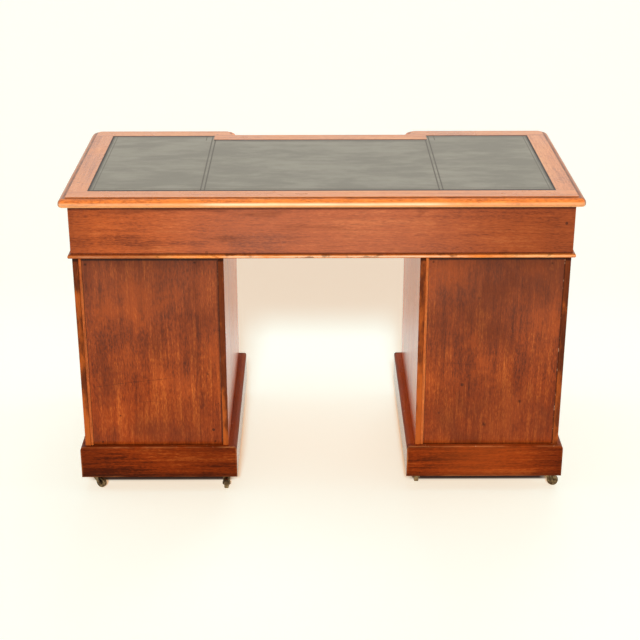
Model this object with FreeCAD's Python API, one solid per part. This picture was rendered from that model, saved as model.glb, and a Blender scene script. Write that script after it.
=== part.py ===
import FreeCAD, Part
import math
import os

# Mahogany pedestal desk with an inverted breakfront top, in millimetres.
# +X is to the right seen from the plain back, +Y points to the sitter's side, +Z is up.
# The origin is on the floor, under the middle of the whole desk.

# Writing top
top_width = 1226.0
top_depth = 606.0
desk_height = 783.0
nose_thickness = 20.0
nose_upper_radius = 12.0
nose_lower_radius = 6.0
field_step = 2.5
field_inset = 17.0
back_corner_radius = 13.0
recess_depth = 37.5
wing_corner_share = 0.8
recess_corner_share = 0.12

# Leather panels let into the top
leather_thickness = 1.6
leather_below_wood = 0.3
leather_side_border = 62.0
leather_back_border = 62.0
leather_front_border = 62.0
leather_wing_border = 55.0

# Frieze box under the top
frieze_height = 131.0
frieze_board = 18.0
frieze_side_overhang = 19.5
frieze_back_overhang = 24.5
frieze_front_overhang = 22.5
frieze_recess_overhang = 7.5
dust_board = 16.0
bead_height = 10.0
bead_reach = 6.8
bead_round_share = 0.42

# Pedestals
kneehole_width = 467.0
pedestal_inset = 2.0
pedestal_board = 13.5
shelf_board = 16.0
board_edge_radius = 1.5
back_panel_board = 10.0
back_panel_setback = 4.0
panel_bead_width = 7.0
panel_bead_reach = 3.0
panel_bead_round_share = 0.8
peg_radius = 8.0
peg_rise = 12.0
peg_fit = 0.05
peg_play = 0.5
peg_place_share = 0.3

# Plinths
plinth_height = 85.0
plinth_side_reach = 12.5
plinth_inner_reach = 20.5
plinth_back_reach = 10.5
plinth_front_reach = 13.5
plinth_round = 10.0

# Hairline left where moulded boards meet at a corner
glue_line = 0.1

# Drawers
drawer_front_board = 18.0
drawer_front_gap = 1.0
drawer_side_play = 1.5
drawer_seat_gap = 0.3
drawer_head_room = 8.0
drawer_back_room = 12.0
drawer_wall = 9.0
drawer_bottom = 7.0
cock_bead_width = 3.5
cock_bead_reach = 2.0
cock_bead_round_share = 0.4
graduation_shares = (0.38, 0.33, 0.29)

# Turned drawer knobs, outlines as shares of the knob's radius and reach
knob_radius = 16.0
knob_reach = 26.0
knob_place_share = 0.27
knob_base_shares = (0.66, 0.10)
knob_neck_shares = (0.47, 0.28)
knob_collar_shares = (0.62, 0.46)
knob_rim_shares = (1.0, 0.62)
knob_shoulder_shares = (0.86, 0.82)

# Brass castors
castor_height = 44.5
castor_side_inset = 29.5
castor_end_inset = 40.0
castor_trail = 16.0
wheel_radius = 14.0
wheel_width = 11.0
wheel_edge_radius = 2.5
wheel_hub_radius = 6.0
wheel_hub_dish = 1.5
wheel_play = 0.6
wheel_clearance = 1.5
axle_radius = 2.0
axle_head_radius = 3.6
axle_head = 1.2
running_fit = 0.05
fork_cheek = 2.6
fork_boss_radius = 5.0
fork_neck_radius = 8.0
fork_neck_height = 5.0
swivel_gap = 0.3
pivot_radius = 4.0
plate_radius = 18.0
plate_thickness = 2.5
screw_radius = 2.4
screw_head = 1.1
screw_circle_radius = 13.5
screws_per_plate = 3

# Which way each castor trails at rest, in degrees from +X
castor_angles = {
    "left_back_outer": -35,
    "left_back_inner": -90,
    "right_back_inner": 90,
    "right_back_outer": -20,
    "left_front_outer": 200,
    "left_front_inner": 115,
    "right_front_inner": 65,
    "right_front_outer": -25,
}

# How far every cut runs past what it cuts, and how near two places count as the same
overrun = 5.0
match_share = 1e-6

# Levels and faces worked out from the sizes above
half_width = top_width / 2
knob_past_edge = max(knob_reach - frieze_front_overhang, 0)
back_edge = -(top_depth + knob_past_edge) / 2
front_edge = back_edge + top_depth
recess_edge = front_edge - recess_depth
pedestal_inner = kneehole_width / 2
recess_side = pedestal_inner - frieze_recess_overhang
nose_top = desk_height - field_step
frieze_top = nose_top - nose_thickness
frieze_bottom = frieze_top - frieze_height
frieze_side = half_width - frieze_side_overhang
frieze_back = back_edge + frieze_back_overhang
frieze_inside = frieze_back + frieze_board
frieze_front = front_edge - frieze_front_overhang
recess_front = frieze_front - recess_depth
partition_side = recess_side + frieze_recess_overhang
pedestal_outer = frieze_side - pedestal_inset
pedestal_back = frieze_back + pedestal_inset
pedestal_front = frieze_front - pedestal_inset
panel_face = pedestal_back + back_panel_setback
pedestal_inside = panel_face + back_panel_board
plinth_bottom = castor_height
plinth_top = plinth_bottom + plinth_height
plinth_outer = pedestal_outer + plinth_side_reach
plinth_inner = pedestal_inner - plinth_inner_reach
plinth_back = pedestal_back - plinth_back_reach
plinth_front = pedestal_front + plinth_front_reach
plate_bottom = plinth_bottom - plate_thickness
fork_top = plate_bottom - swivel_gap
peg_y = (pedestal_inside + recess_front) / 2

sides = {"left": -1, "right": 1}
nodes = {}
up = FreeCAD.Vector(0, 0, 1)
toward_sitter = FreeCAD.Vector(0, 1, 0)


def block(x_ends, y_ends, z_ends):
    """A rectangular board between two places on each axis, given in either order."""
    low = [min(ends) for ends in (x_ends, y_ends, z_ends)]
    size = [max(ends) - min(ends) for ends in (x_ends, y_ends, z_ends)]
    return Part.makeBox(size[0], size[1], size[2], FreeCAD.Vector(low[0], low[1], low[2]))


def rounded_wire(corners):
    """A closed flat wire through (x, y, radius) corners, with an arc at each radius above zero."""
    edges = []
    starts = []
    ends = []
    for index, (x, y, radius) in enumerate(corners):
        point = FreeCAD.Vector(x, y, 0)
        before = FreeCAD.Vector(corners[index - 1][0], corners[index - 1][1], 0)
        following = corners[(index + 1) % len(corners)]
        after = FreeCAD.Vector(following[0], following[1], 0)
        if radius <= 0:
            starts.append(point)
            ends.append(point)
            continue
        to_before = (before - point).normalize()
        to_after = (after - point).normalize()
        half_angle = to_before.getAngle(to_after) / 2
        reach = radius / math.tan(half_angle)
        inward = (to_before + to_after).normalize()
        centre = point + inward * (radius / math.sin(half_angle))
        starts.append(point + to_before * reach)
        ends.append(point + to_after * reach)
        edges.append(Part.Arc(starts[-1], centre - inward * radius, ends[-1]).toShape())
    for index, start in enumerate(starts):
        edges.append(Part.LineSegment(ends[index - 1], start).toShape())
    return Part.Wire(Part.__sortEdges__(edges))


def slab(corners, z_low, z_high):
    """A flat piece with the outline given by its corners."""
    face = Part.Face(rounded_wire(corners))
    face.translate(up * z_low)
    return face.extrude(up * (z_high - z_low))


def round_edges(shape, radius, chosen, level=True):
    """Rounds the level or the upright edges whose middle answers to the chosen test."""
    picked = []
    for edge in shape.Edges:
        heights = [vertex.Point.z for vertex in edge.Vertexes]
        is_level = same(min(heights), max(heights))
        if is_level == level and chosen(edge.CenterOfMass):
            picked.append(edge)
    return shape.makeFillet(radius, picked)


def same(a, b):
    """Whether two places on one axis are the same, within a tiny share of the top's width."""
    return math.isclose(a, b, abs_tol=top_width * match_share)


def top_corners(inset):
    """The breakfront outline of the top, moved in by an inset on every side."""
    x_side = half_width - inset
    x_recess = recess_side + inset
    y_back = back_edge + inset
    y_wing = front_edge - inset
    y_recess = recess_edge - inset
    wing_radius = recess_depth * wing_corner_share - inset
    inner_radius = recess_depth * recess_corner_share + inset
    back_radius = back_corner_radius - inset
    right_half = [
        (x_side, y_back, back_radius),
        (x_side, y_wing, wing_radius),
        (x_recess, y_wing, wing_radius),
        (x_recess, y_recess, inner_radius),
    ]
    left_half = [(-x, y, radius) for x, y, radius in reversed(right_half)]
    return right_half + left_half


def make_top():
    """The top board with its moulded edge, the pocket for the leather and the three leathers."""
    nose = slab(top_corners(0), frieze_top, nose_top)
    nose = round_edges(nose, nose_upper_radius, lambda point: same(point.z, nose_top))
    nose = round_edges(nose, nose_lower_radius, lambda point: same(point.z, frieze_top))
    board = nose.fuse(slab(top_corners(field_inset), nose_top - field_step, desk_height))
    pocket_floor = desk_height - leather_below_wood - leather_thickness
    side = half_width - leather_side_border
    division = recess_side + leather_wing_border
    back = back_edge + leather_back_border
    wing_front = front_edge - leather_front_border
    centre_front = recess_edge - leather_front_border
    beds = {
        "leather_left": ((-side, -division), (back, wing_front)),
        "leather_center": ((-division, division), (back, centre_front)),
        "leather_right": ((division, side), (back, wing_front)),
    }
    for name, (x_ends, y_ends) in beds.items():
        board = board.cut(block(x_ends, y_ends, (pocket_floor, desk_height + overrun)))
        nodes[name] = block(x_ends, y_ends, (pocket_floor, pocket_floor + leather_thickness))
    nodes["writing_top"] = board.removeSplitter()


def make_frieze():
    """The open-fronted box that carries the top and holds the three upper drawers."""
    heights = (frieze_bottom, frieze_top)
    nodes["frieze_back"] = block((-frieze_side, frieze_side), (frieze_back, frieze_inside), heights)
    partitions = []
    boards = []
    for side, sign in sides.items():
        end_x = (sign * frieze_side, sign * (frieze_side - frieze_board))
        nodes["frieze_end_" + side] = block(end_x, (frieze_inside, frieze_front), heights)
        wall_x = (sign * partition_side, sign * (partition_side + frieze_board))
        partitions.append(block(wall_x, (frieze_inside, frieze_front), heights))
        wing = block((end_x[1], wall_x[1]), (frieze_inside, frieze_front), dust_heights())
        for x in peg_places(sign):
            hole_at = FreeCAD.Vector(x, peg_y, frieze_bottom - overrun)
            wing = wing.cut(Part.makeCylinder(peg_radius + peg_play, dust_board + 2 * overrun, hole_at))
        boards.append(wing)
    centre_x = (-partition_side, partition_side)
    boards.append(block(centre_x, (frieze_inside, recess_front), dust_heights()))
    nodes["frieze_partitions"] = Part.makeCompound(partitions)
    nodes["frieze_dust_boards"] = Part.makeCompound(boards)


def dust_heights():
    return (frieze_bottom, frieze_bottom + dust_board)


def peg_places(sign):
    """The two places across a pedestal where pegs locate the top."""
    middle = (pedestal_outer + pedestal_inner) / 2
    offset = (pedestal_outer - pedestal_inner) * peg_place_share
    return (sign * (middle - offset), sign * (middle + offset))


def make_bead():
    """The rounded strip round the bottom of the frieze, mitred at the two back corners."""
    outer_x = frieze_side + bead_reach
    outer_y = frieze_back - bead_reach
    radius = bead_height * bead_round_share
    back_outline = [
        (-outer_x, outer_y, 0),
        (outer_x, outer_y, 0),
        (frieze_side, frieze_back, 0),
        (-frieze_side, frieze_back, 0),
    ]
    strip = slab(back_outline, frieze_bottom, frieze_bottom + bead_height)
    strips = [round_edges(strip, radius, lambda point: same(point.y, outer_y))]
    for sign in sides.values():
        outline = [
            (sign * outer_x, outer_y + glue_line, 0),
            (sign * outer_x, frieze_front, 0),
            (sign * frieze_side, frieze_front, 0),
            (sign * frieze_side, frieze_back + glue_line, 0),
        ]
        strip = slab(outline, frieze_bottom, frieze_bottom + bead_height)
        strips.append(round_edges(strip, radius, lambda point: same(abs(point.x), outer_x)))
    nodes["bead_moulding"] = Part.makeCompound(strips)


def shelf_levels():
    """The undersides of a pedestal's boards, from the lowest drawer's dust board to the top board."""
    room = frieze_bottom - plinth_top - len(graduation_shares) * shelf_board
    levels = [plinth_top - shelf_board]
    for share in graduation_shares:
        levels.append(levels[-1] + shelf_board + room * share)
    return levels


def make_pedestal(side, sign):
    """One pedestal: two sides, a back panel with its bead, shelves, locating pegs and plinth."""
    outer_x = (sign * pedestal_outer, sign * (pedestal_outer - pedestal_board))
    inner_x = (sign * pedestal_inner, sign * (pedestal_inner + pedestal_board))
    between = (outer_x[1], inner_x[1])
    depth = (pedestal_back, pedestal_front)
    heights = (plinth_bottom, frieze_bottom)
    for name, x_ends in (("outer_side", outer_x), ("inner_side", inner_x)):
        board = block(x_ends, depth, heights)
        nodes[side + "_" + name] = round_edges(
            board, board_edge_radius, lambda point: same(point.y, pedestal_back), level=False)
    nodes[side + "_back_panel"] = block(between, (panel_face, pedestal_inside), heights)
    bead_x = (min(between), min(between) + panel_bead_width)
    bead_front = panel_face - panel_bead_reach
    bead = block(bead_x, (bead_front, panel_face), (plinth_top, frieze_bottom))
    bead_radius = panel_bead_reach * panel_bead_round_share
    nodes[side + "_panel_bead"] = round_edges(
        bead, bead_radius, lambda point: same(point.y, bead_front), level=False)
    make_shelves(side, sign, between)
    make_plinth(side, sign)


def make_shelves(side, sign, between):
    """The boards across a pedestal: castor board, dust board, dividers and the pegged top board."""
    shelf_depth = (pedestal_inside, pedestal_front)
    levels = [plinth_bottom] + shelf_levels()
    shelves = [block(between, shelf_depth, (level, level + shelf_board)) for level in levels]
    pegs = []
    for x in peg_places(sign):
        foot = FreeCAD.Vector(x, peg_y, levels[-1])
        shelves[-1] = shelves[-1].cut(Part.makeCylinder(peg_radius + peg_fit, shelf_board, foot))
        pegs.append(Part.makeCylinder(peg_radius, shelf_board + peg_rise, foot))
    nodes[side + "_shelves"] = Part.makeCompound(shelves)
    nodes[side + "_pegs"] = Part.makeCompound(pegs)


def make_plinth(side, sign):
    """Four boards round the foot of a pedestal, rounded on top where they stand proud of it."""
    heights = (plinth_bottom, plinth_top)
    across = (sign * plinth_outer, sign * plinth_inner)
    along = (pedestal_back + glue_line, pedestal_front - glue_line)

    def at_end(point):
        return same(point.z, plinth_top) and (same(point.x, across[0]) or same(point.x, across[1]))

    def at_face(point):
        return same(point.z, plinth_top) and same(point.y, plinth_front)

    back = round_edges(block(across, (plinth_back, pedestal_back), heights), plinth_round, at_end)
    front = block(across, (pedestal_front, plinth_front), heights)
    front = round_edges(front, plinth_round, at_end).common(round_edges(front, plinth_round, at_face))
    outer = block((across[0], sign * pedestal_outer), along, heights)
    inner = block((across[1], sign * pedestal_inner), along, heights)
    boards = [back, front] + [round_edges(board, plinth_round, at_end) for board in (outer, inner)]
    nodes[side + "_plinth"] = Part.makeCompound(boards)


def at_shares(shares):
    """A point of the knob's outline, from shares of its radius and reach."""
    return FreeCAD.Vector(knob_radius * shares[0], knob_reach * shares[1], 0)


def make_knob(x, face, z):
    """A turned knob standing out of a drawer front towards the sitter."""
    foot = FreeCAD.Vector(0, 0, 0)
    base = at_shares(knob_base_shares)
    rose = FreeCAD.Vector(base.x, 0, 0)
    collar = at_shares(knob_collar_shares)
    shoulder = at_shares(knob_shoulder_shares)
    tip = FreeCAD.Vector(0, knob_reach, 0)
    dome_rise = knob_reach - shoulder.y
    dome_radius = (shoulder.x ** 2 + dome_rise ** 2) / (2 * dome_rise)
    dome_turn = math.asin(shoulder.x / dome_radius) / 2
    dome_drop = dome_radius * (1 - math.cos(dome_turn))
    dome_middle = FreeCAD.Vector(dome_radius * math.sin(dome_turn), knob_reach - dome_drop, 0)
    outline = [
        Part.LineSegment(foot, rose).toShape(),
        Part.LineSegment(rose, base).toShape(),
        Part.Arc(base, at_shares(knob_neck_shares), collar).toShape(),
        Part.Arc(collar, at_shares(knob_rim_shares), shoulder).toShape(),
        Part.Arc(shoulder, dome_middle, tip).toShape(),
        Part.LineSegment(tip, foot).toShape(),
    ]
    knob = Part.Face(Part.Wire(outline)).revolve(foot, toward_sitter, 360)
    knob.translate(FreeCAD.Vector(x, face, z))
    return knob


def make_drawer(name, x_ends, y_ends, z_ends):
    """A drawer in an opening: a beaded front with two knobs, and a box of four boards behind it."""
    left, right = min(x_ends), max(x_ends)
    back, face = y_ends
    low, high = z_ends
    joint_y = face - drawer_front_board
    front_x = (left + drawer_front_gap, right - drawer_front_gap)
    front_z = (low + drawer_front_gap, high - drawer_front_gap)
    bead_top = face + cock_bead_reach
    front = block(front_x, (joint_y, bead_top), front_z)
    field_x = (front_x[0] + cock_bead_width, front_x[1] - cock_bead_width)
    field_z = (front_z[0] + cock_bead_width, front_z[1] - cock_bead_width)
    front = front.cut(block(field_x, (face, bead_top + overrun), field_z))
    bead_edges = [edge for edge in front.Edges if same(edge.CenterOfMass.y, bead_top)]
    front = front.makeFillet(cock_bead_width * cock_bead_round_share, bead_edges)
    middle = (left + right) / 2
    offset = (right - left) * knob_place_share
    knob_z = (low + high) / 2
    knobs = [make_knob(x, face, knob_z) for x in (middle - offset, middle + offset)]
    nodes[name + "_front"] = Part.makeCompound([front] + knobs)
    box_x = (left + drawer_side_play, right - drawer_side_play)
    box_y = (back + drawer_back_room, joint_y)
    box_z = (low + drawer_seat_gap, high - drawer_head_room)
    inside_x = (box_x[0] + drawer_wall, box_x[1] - drawer_wall)
    above_bottom = (box_z[0] + drawer_bottom, box_z[1])
    left_side = block((box_x[0], inside_x[0]), box_y, box_z)
    right_side = block((inside_x[1], box_x[1]), box_y, box_z)
    bottom = block(inside_x, box_y, (box_z[0], above_bottom[0]))
    back_board = block(inside_x, (box_y[0], box_y[0] + drawer_wall), above_bottom)
    nodes[name + "_box"] = Part.makeCompound([left_side, right_side, bottom, back_board])


def make_drawers():
    """Three drawers in the frieze and three graduated ones in each pedestal."""
    frieze_z = (frieze_bottom + dust_board, frieze_top)
    centre_x = (-partition_side, partition_side)
    make_drawer("drawer_center", centre_x, (frieze_inside, recess_front), frieze_z)
    levels = shelf_levels()
    for side, sign in sides.items():
        wing_x = (sign * (partition_side + frieze_board), sign * (frieze_side - frieze_board))
        make_drawer("drawer_" + side + "_frieze", wing_x, (frieze_inside, frieze_front), frieze_z)
        bay_x = (sign * (pedestal_inner + pedestal_board), sign * (pedestal_outer - pedestal_board))
        for index, place in enumerate(("lower", "middle", "upper")):
            bay_z = (levels[index] + shelf_board, levels[index + 1])
            name = "drawer_" + side + "_" + place
            make_drawer(name, bay_x, (pedestal_inside, pedestal_front), bay_z)


def make_wheel():
    """A castor wheel with dished hubs, upright over the origin with its axle along Y."""
    start = FreeCAD.Vector(0, -wheel_width / 2, 0)
    wheel = Part.makeCylinder(wheel_radius, wheel_width, start, toward_sitter)
    rims = [edge for edge in wheel.Edges if edge.isClosed()]
    wheel = wheel.makeFillet(wheel_edge_radius, rims)
    for sign in sides.values():
        hub_face = FreeCAD.Vector(0, sign * (wheel_width / 2 - wheel_hub_dish), 0)
        outward = toward_sitter * sign
        ring = Part.makeCylinder(wheel_radius - wheel_edge_radius, overrun, hub_face, outward)
        hub = Part.makeCylinder(wheel_hub_radius, overrun, hub_face, outward)
        wheel = wheel.cut(ring.cut(hub))
    bore_start = start - toward_sitter * overrun
    bore_length = wheel_width + 2 * overrun
    bore = Part.makeCylinder(axle_radius + running_fit, bore_length, bore_start, toward_sitter)
    return wheel.cut(bore)


def make_fork():
    """A swivel fork with its pivot over the origin, the wheel trailing along +X, and its axle."""
    slot_width = wheel_width + 2 * wheel_play
    width = slot_width + 2 * fork_cheek
    crown_top = fork_top - fork_neck_height
    crown_low = wheel_radius * 2 + wheel_clearance
    profile = Part.makePolygon([
        FreeCAD.Vector(-fork_neck_radius, -width / 2, crown_top),
        FreeCAD.Vector(fork_neck_radius, -width / 2, crown_top),
        FreeCAD.Vector(castor_trail + fork_boss_radius, -width / 2, wheel_radius),
        FreeCAD.Vector(castor_trail - fork_boss_radius, -width / 2, wheel_radius),
        FreeCAD.Vector(-fork_neck_radius, -width / 2, crown_low),
        FreeCAD.Vector(-fork_neck_radius, -width / 2, crown_top),
    ])
    axle_at = FreeCAD.Vector(castor_trail, -width / 2, wheel_radius)
    fork = Part.Face(profile).extrude(toward_sitter * width)
    fork = fork.fuse(Part.makeCylinder(fork_boss_radius, width, axle_at, toward_sitter))
    slot_at = FreeCAD.Vector(castor_trail, -slot_width / 2, wheel_radius)
    slot = Part.makeCylinder(wheel_radius + wheel_clearance, slot_width, slot_at, toward_sitter)
    axle_hole = Part.makeCylinder(axle_radius + running_fit, width, axle_at, toward_sitter)
    neck = Part.makeCylinder(fork_neck_radius, fork_neck_height, FreeCAD.Vector(0, 0, crown_top))
    pivot = Part.makeCylinder(pivot_radius, plate_thickness, FreeCAD.Vector(0, 0, fork_top))
    fork = fork.cut(slot).cut(axle_hole).fuse(neck).fuse(pivot)
    axle = Part.makeCylinder(axle_radius, width, axle_at, toward_sitter)
    for sign in sides.values():
        head_at = FreeCAD.Vector(castor_trail, sign * width / 2, wheel_radius)
        axle = axle.fuse(Part.makeCylinder(axle_head_radius, axle_head, head_at, toward_sitter * sign))
    return fork.removeSplitter(), axle.removeSplitter()


def make_plate():
    """The round brass plate that carries a castor's pivot, with its screw heads, over the origin."""
    plate = Part.makeCylinder(plate_radius, plate_thickness, FreeCAD.Vector(0, 0, plate_bottom))
    pivot_hole = Part.makeCylinder(
        pivot_radius + running_fit, plate_thickness, FreeCAD.Vector(0, 0, plate_bottom))
    pieces = [plate.cut(pivot_hole)]
    for index in range(screws_per_plate):
        angle = 2 * math.pi * index / screws_per_plate
        head_at = FreeCAD.Vector(math.cos(angle), math.sin(angle), 0) * screw_circle_radius
        head_at += up * (plate_bottom - screw_head)
        pieces.append(Part.makeCylinder(screw_radius, screw_head, head_at))
    return pieces


def make_castors():
    """Eight castors, each under a corner of a plinth and turned its own way."""
    plates = {side: [] for side in sides}
    for place, angle in castor_angles.items():
        side, end, flank = place.split("_")
        inset_x = plinth_outer - castor_side_inset if flank == "outer" else plinth_inner + castor_side_inset
        pivot_y = plinth_back + castor_end_inset if end == "back" else plinth_front - castor_end_inset
        spot = FreeCAD.Vector(sides[side] * inset_x, pivot_y, 0)
        here = FreeCAD.Placement(spot, FreeCAD.Rotation(up, angle))
        wheel = make_wheel()
        wheel.translate(FreeCAD.Vector(castor_trail, 0, wheel_radius))
        fork, axle = make_fork()
        nodes["castor_" + place + "_wheel"] = wheel.transformed(here.toMatrix())
        nodes["castor_" + place + "_fork"] = Part.makeCompound(
            [piece.transformed(here.toMatrix()) for piece in (fork, axle)])
        plates[side] += [piece.transformed(here.toMatrix()) for piece in make_plate()]
    for side, pieces in plates.items():
        nodes[side + "_castor_plates"] = Part.makeCompound(pieces)


make_top()
make_frieze()
make_bead()
for side_name, side_sign in sides.items():
    make_pedestal(side_name, side_sign)
make_drawers()
make_castors()

os.makedirs("parts", exist_ok=True)
for node_name, node_shape in nodes.items():
    node_shape.exportStep("parts/" + node_name + ".step")
    box = node_shape.BoundBox
    print(node_name, len(node_shape.Solids), node_shape.isValid(), round(node_shape.Volume, 1), box)
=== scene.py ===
import math

import bmesh
import bpy
from mathutils import Matrix, Vector


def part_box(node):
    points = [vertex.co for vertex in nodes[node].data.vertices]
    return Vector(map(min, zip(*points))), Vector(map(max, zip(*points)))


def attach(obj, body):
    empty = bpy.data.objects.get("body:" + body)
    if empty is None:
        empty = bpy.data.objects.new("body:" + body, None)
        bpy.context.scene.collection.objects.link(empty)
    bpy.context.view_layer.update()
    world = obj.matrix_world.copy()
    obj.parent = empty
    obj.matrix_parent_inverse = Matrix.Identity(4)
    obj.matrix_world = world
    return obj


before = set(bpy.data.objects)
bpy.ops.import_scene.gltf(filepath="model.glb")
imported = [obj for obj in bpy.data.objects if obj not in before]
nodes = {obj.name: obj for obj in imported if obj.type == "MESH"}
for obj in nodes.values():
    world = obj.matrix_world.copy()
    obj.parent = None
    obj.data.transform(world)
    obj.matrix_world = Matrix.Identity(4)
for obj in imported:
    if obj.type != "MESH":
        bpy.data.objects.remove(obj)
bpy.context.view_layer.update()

# The looks of a mahogany kneehole desk, seen from its plain back. All lengths are in metres.
# X runs along the desk, Y towards the sitter and Z up.

MM = 0.001
SIDES = ("left", "right")


def srgb(red, green, blue):
    """A colour as it looks on a screen, 0 to 255 a channel, in linear values with full alpha."""
    linear = []
    for channel in (red, green, blue):
        share = channel / 255
        linear.append(share / 12.92 if share <= 0.04045 else ((share + 0.055) / 1.055) ** 2.4)
    return (*linear, 1.0)


class Tree:
    """Short hands for placing and joining shader nodes in one node tree."""

    def __init__(self, tree):
        self.tree = tree

    def node(self, kind, inputs, **settings):
        """A new node with its settings, and its inputs linked or set. Gives back its outputs."""
        made = self.tree.nodes.new(kind)
        for key, value in settings.items():
            setattr(made, key, value)
        for key, value in inputs.items():
            if isinstance(value, bpy.types.NodeSocket):
                self.tree.links.new(value, made.inputs[key])
            else:
                made.inputs[key].default_value = value
        return made.outputs

    def math(self, operation, first, second=0.0, third=0.0, clamp=False):
        inputs = {0: first, 1: second, 2: third}
        return self.node("ShaderNodeMath", inputs, operation=operation, use_clamp=clamp)[0]

    def plus(self, first, second):
        return self.math("ADD", first, second)

    def minus(self, first, second):
        return self.math("SUBTRACT", first, second)

    def times(self, first, second):
        return self.math("MULTIPLY", first, second)

    def scaled(self, value, factor, added):
        """A value times a factor, plus something else."""
        return self.math("MULTIPLY_ADD", value, factor, added)

    def most(self, first, second):
        return self.math("MAXIMUM", first, second)

    def least(self, first, second):
        return self.math("MINIMUM", first, second)

    def size(self, value):
        """A value without its sign."""
        return self.math("ABSOLUTE", value)

    def rest(self, share):
        """What a share leaves of one."""
        return self.minus(1.0, share)

    def square_sum(self, first, second):
        return self.scaled(first, first, self.times(second, second))

    def mix(self, share, first, second):
        """One colour or another, by a share."""
        return self.node("ShaderNodeMix", {0: share, 6: first, 7: second}, data_type="RGBA")[2]

    def blend(self, share, first, second):
        """One number or another, by a share."""
        return self.node("ShaderNodeMix", {0: share, 2: first, 3: second}, data_type="FLOAT")[0]

    def remap(self, value, low, high, new_low=0.0, new_high=1.0):
        """A soft step from one value to another as the input passes from low to high."""
        inputs = {0: value, 1: low, 2: high, 3: new_low, 4: new_high}
        return self.node("ShaderNodeMapRange", inputs, interpolation_type="SMOOTHSTEP")[0]

    def remap_straight(self, value, low, high):
        """A share from nought to one as the input passes from low to high."""
        return self.node("ShaderNodeMapRange", {0: value, 1: low, 2: high})[0]

    def near(self, value, place, reach):
        """One at a place on an axis, falling to nought at a reach on either side of it."""
        return self.remap(self.size(self.minus(value, place)), reach, 0.0)

    def over(self, value, place, softness):
        """Nought below a place, one above it."""
        return self.remap(value, place - softness, place + softness)

    def below(self, value, place, softness):
        """One below a place, nought above it."""
        return self.rest(self.over(value, place, softness))

    def between(self, value, low, high, softness):
        """One from a low place to a high one, nought beyond them."""
        return self.times(self.over(value, low, softness), self.below(value, high, softness))

    def vector(self, operation, first, second):
        return self.node("ShaderNodeVectorMath", {0: first, 1: second}, operation=operation)[0]

    def turn(self, vector, angles):
        return self.node("ShaderNodeMapping", {"Vector": vector, "Rotation": angles})[0]

    def parts(self, vector):
        """The X, Y and Z of a vector."""
        return tuple(self.node("ShaderNodeSeparateXYZ", {0: vector}))

    def noise(self, vector, scale=1.0, detail=2.0, roughness=0.5):
        inputs = {"Vector": vector, "Scale": scale, "Detail": detail, "Roughness": roughness}
        return self.node("ShaderNodeTexNoise", inputs)[0]

    def streaks(self, vector, scale, detail=2.0, roughness=0.5):
        """Noise with a scale of its own along each axis."""
        return self.noise(self.vector("MULTIPLY", vector, scale), 1.0, detail, roughness)

    def cells(self, vector, scale):
        """The outputs of a pattern of scattered points."""
        return self.node("ShaderNodeTexVoronoi", {"Vector": vector, "Scale": scale})

    def bump(self, height, strength, distance):
        inputs = {"Height": height, "Strength": strength, "Distance": distance}
        return self.node("ShaderNodeBump", inputs)[0]


def new_group(name, inputs, outputs):
    """An empty shader node group with its sockets, its tree and its input sockets by name."""
    group = bpy.data.node_groups.new(name, "ShaderNodeTree")
    kinds = {"v": "NodeSocketVector", "c": "NodeSocketColor", "f": "NodeSocketFloat"}
    for socket, kind in inputs.items():
        group.interface.new_socket(name=socket, in_out="INPUT", socket_type=kinds[kind])
    for socket, kind in outputs.items():
        group.interface.new_socket(name=socket, in_out="OUTPUT", socket_type=kinds[kind])
    entry = group.nodes.new("NodeGroupInput")
    given = {socket: entry.outputs[socket] for socket in inputs}
    return group, Tree(group), given


def close_group(group, results):
    """Joins a group's results to its outputs."""
    leaving = group.nodes.new("NodeGroupOutput")
    for socket, value in results.items():
        group.links.new(value, leaving.inputs[socket])
    return group


def use_group(tree, group, inputs):
    """Places a group in a material and gives back its outputs by name."""
    return {socket.name: socket for socket in tree.node("ShaderNodeGroup", inputs, node_tree=group)}


def make_grain_group():
    """Mahogany along X: broad stripes, fine fibres, open pores and clouds in the old polish."""
    group, t, given = new_group(
        "mahogany_grain",
        {"Vector": "v", "Deep": "c", "Warm": "c", "Pale": "c", "Stripes": "f", "Flecks": "f"},
        {"Color": "c", "Pores": "f", "Cloud": "f", "Fibre": "f"})
    sway = t.streaks(given["Vector"], (1.6, 5.0, 5.0), 2.0)
    bend = t.vector("MULTIPLY", sway, (0.0, 12 * MM, 12 * MM))
    place = t.vector("ADD", given["Vector"], bend)
    stripe = t.streaks(place, (1.3, 30.0, 30.0), 4.0, 0.62)
    ribbon = t.streaks(place, (2.6, 85.0, 85.0), 3.0, 0.6)
    streak = t.streaks(place, (9.0, 190.0, 190.0), 3.0, 0.6)
    fibre = t.streaks(place, (24.0, 420.0, 420.0), 3.0, 0.6)
    fleck = t.streaks(place, (95.0, 380.0, 380.0), 3.0, 0.65)
    pore = t.streaks(place, (45.0, 800.0, 800.0), 1.0, 0.5)
    cloud = t.noise(given["Vector"], 4.2, 4.0, 0.6)
    tone = t.scaled(ribbon, 0.3, t.times(stripe, 0.4))
    tone = t.scaled(streak, 0.3, tone)
    tone = t.scaled(t.minus(tone, 0.5), t.times(given["Stripes"], 2.4), 0.5)
    tone = t.scaled(t.minus(fleck, 0.5), given["Flecks"], tone)
    tone = t.math("ADD", t.minus(cloud, 0.5), tone, clamp=True)
    lower = t.mix(t.remap(tone, 0.1, 0.55), given["Deep"], given["Warm"])
    colour = t.mix(t.remap(tone, 0.5, 0.9), lower, given["Pale"])
    colour = t.mix(t.remap(fibre, 0.45, 0.75, 0.0, 0.4), colour, given["Deep"])
    pores = t.remap(pore, 0.58, 0.70)
    colour = t.mix(t.times(pores, 0.5), colour, given["Deep"])
    return close_group(group, {"Color": colour, "Pores": pores, "Cloud": cloud, "Fibre": fibre})


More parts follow.
